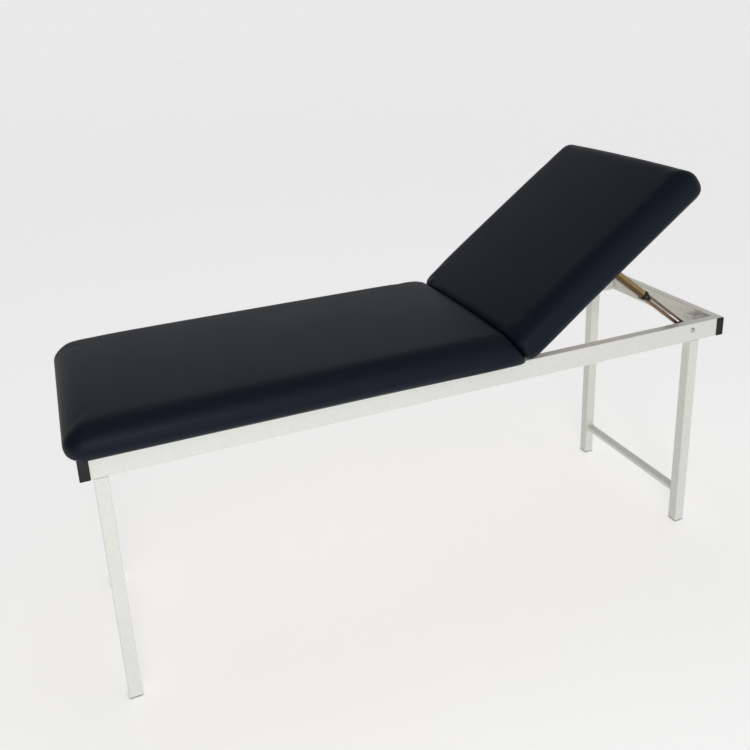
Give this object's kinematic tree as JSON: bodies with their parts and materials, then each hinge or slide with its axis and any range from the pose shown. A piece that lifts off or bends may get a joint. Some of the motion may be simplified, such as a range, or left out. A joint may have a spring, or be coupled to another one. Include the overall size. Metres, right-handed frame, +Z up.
{
  "type": "examination couch",
  "caption": "Flat-topped examination couch on a square tube frame, with a long padded seat and a padded backrest held up by telescopic ratchet stays.",
  "frame": {"origin": "On the floor, under the middle of the couch's bounding box with the backrest raised", "axes": "+X from the foot end to the head end, +Y to the right of someone lying on it, +Z up; the left side is -Y"},
  "size_m": [1.8244, 0.576, 1.1258],
  "materials": {
    "frame_paint": "glossy off-white powder coat",
    "vinyl": "smooth satin dark navy vinyl-coated fabric over foam",
    "plywood": "raw plywood",
    "black_plastic": "moulded black plastic",
    "gold_zinc": "yellow chromate over zinc plate",
    "rack_plating": "copper brown plate, worn bright on its edges",
    "bright_zinc": "bright zinc plate",
    "spring_steel": "drawn spring wire"
  },
  "bodies": {
    "frame": {"rail_left": "frame_paint", "rail_right": "frame_paint", "cross_tube_foot": "frame_paint", "cross_tube_head": "frame_paint", "cross_tube_mid": "frame_paint", "leg_foot_left": "frame_paint", "leg_foot_right": "frame_paint", "leg_head_left": "frame_paint", "leg_head_right": "frame_paint", "stretcher_foot": "frame_paint", "stretcher_head": "frame_paint", "cap_foot_left": "black_plastic", "cap_foot_right": "black_plastic", "cap_head_left": "black_plastic", "cap_head_right": "black_plastic", "insert_foot_left": "black_plastic", "insert_foot_right": "black_plastic", "insert_head_left": "black_plastic", "insert_head_right": "black_plastic", "socket_bracket": "frame_paint", "seat_board": "plywood", "seat_pad": "vinyl", "seat_fixing_tabs": "frame_paint", "seat_screws": "bright_zinc", "hinge_left_seat_leaf": "bright_zinc", "hinge_left_pin": "bright_zinc", "hinge_right_seat_leaf": "bright_zinc", "hinge_right_pin": "bright_zinc", "hinge_seat_screws": "bright_zinc", "pivot_bolts": "bright_zinc", "pivot_spacers": "bright_zinc", "pivot_washers": "bright_zinc", "pivot_nuts": "bright_zinc"},
    "backrest": {"backrest_board": "plywood", "backrest_pad": "vinyl", "hinge_left_back_leaf": "bright_zinc", "hinge_right_back_leaf": "bright_zinc", "hinge_back_screws": "bright_zinc", "stay_left_bracket": "frame_paint", "stay_right_bracket": "frame_paint", "top_rivets": "bright_zinc", "bracket_screws": "bright_zinc"},
    "rack_left": {"stay_left_rack": "rack_plating"},
    "tube_left": {"stay_left_tube": "gold_zinc", "stay_left_collar": "black_plastic", "stay_left_catch_pin": "bright_zinc", "stay_left_spring": "spring_steel"},
    "catch_left": {"stay_left_catch": "black_plastic"},
    "rack_right": {"stay_right_rack": "rack_plating"},
    "tube_right": {"stay_right_tube": "gold_zinc", "stay_right_collar": "black_plastic", "stay_right_catch_pin": "bright_zinc", "stay_right_spring": "spring_steel"},
    "catch_right": {"stay_right_catch": "black_plastic"}
  },
  "joints": [
    {"name": "backrest_hinge", "type": "hinge", "parent": "frame", "child": "backrest", "pos_m": [0.24025, 0, 0.658], "axis": [0, -1, 0], "range_deg": [-35.9, 0]},
    {"name": "stay_left_swing", "type": "hinge", "parent": "frame", "child": "rack_left", "pos_m": [0.80025, -0.205, 0.6423], "axis": [0, 1, 0], "range_deg": [-38.3, 0]},
    {"name": "stay_left_slide", "type": "slide", "parent": "rack_left", "child": "tube_left", "axis": [-0.784, 0, 0.6207], "range_m": [-0.1325, 0]},
    {"name": "catch_left_lift", "type": "hinge", "parent": "tube_left", "child": "catch_left", "pos_m": [0.65245, -0.2143, 0.75931], "axis": [-0.6207, 0, -0.784], "range_deg": [0, 11], "stiffness_Nm_per_rad": 0.005, "springref_deg": -20.05},
    {"name": "stay_right_swing", "type": "hinge", "parent": "frame", "child": "rack_right", "pos_m": [0.80025, 0.205, 0.6423], "axis": [0, 1, 0], "range_deg": [-38.3, 0]},
    {"name": "stay_right_slide", "type": "slide", "parent": "rack_right", "child": "tube_right", "axis": [-0.784, 0, 0.6207], "range_m": [-0.1325, 0]},
    {"name": "catch_right_lift", "type": "hinge", "parent": "tube_right", "child": "catch_right", "pos_m": [0.65245, 0.2143, 0.75931], "axis": [0.6207, 0, 0.784], "range_deg": [0, 11], "stiffness_Nm_per_rad": 0.005, "springref_deg": -20.05}
  ],
  "couplings": [
    {"joint": "stay_left_swing", "follows": "backrest_hinge", "ratio": 1.0594},
    {"joint": "stay_left_slide", "follows": "backrest_hinge", "m_per_rad": 0.21024},
    {"joint": "stay_right_swing", "follows": "backrest_hinge", "ratio": 1.0594},
    {"joint": "stay_right_slide", "follows": "backrest_hinge", "m_per_rad": 0.21024}
  ]
}
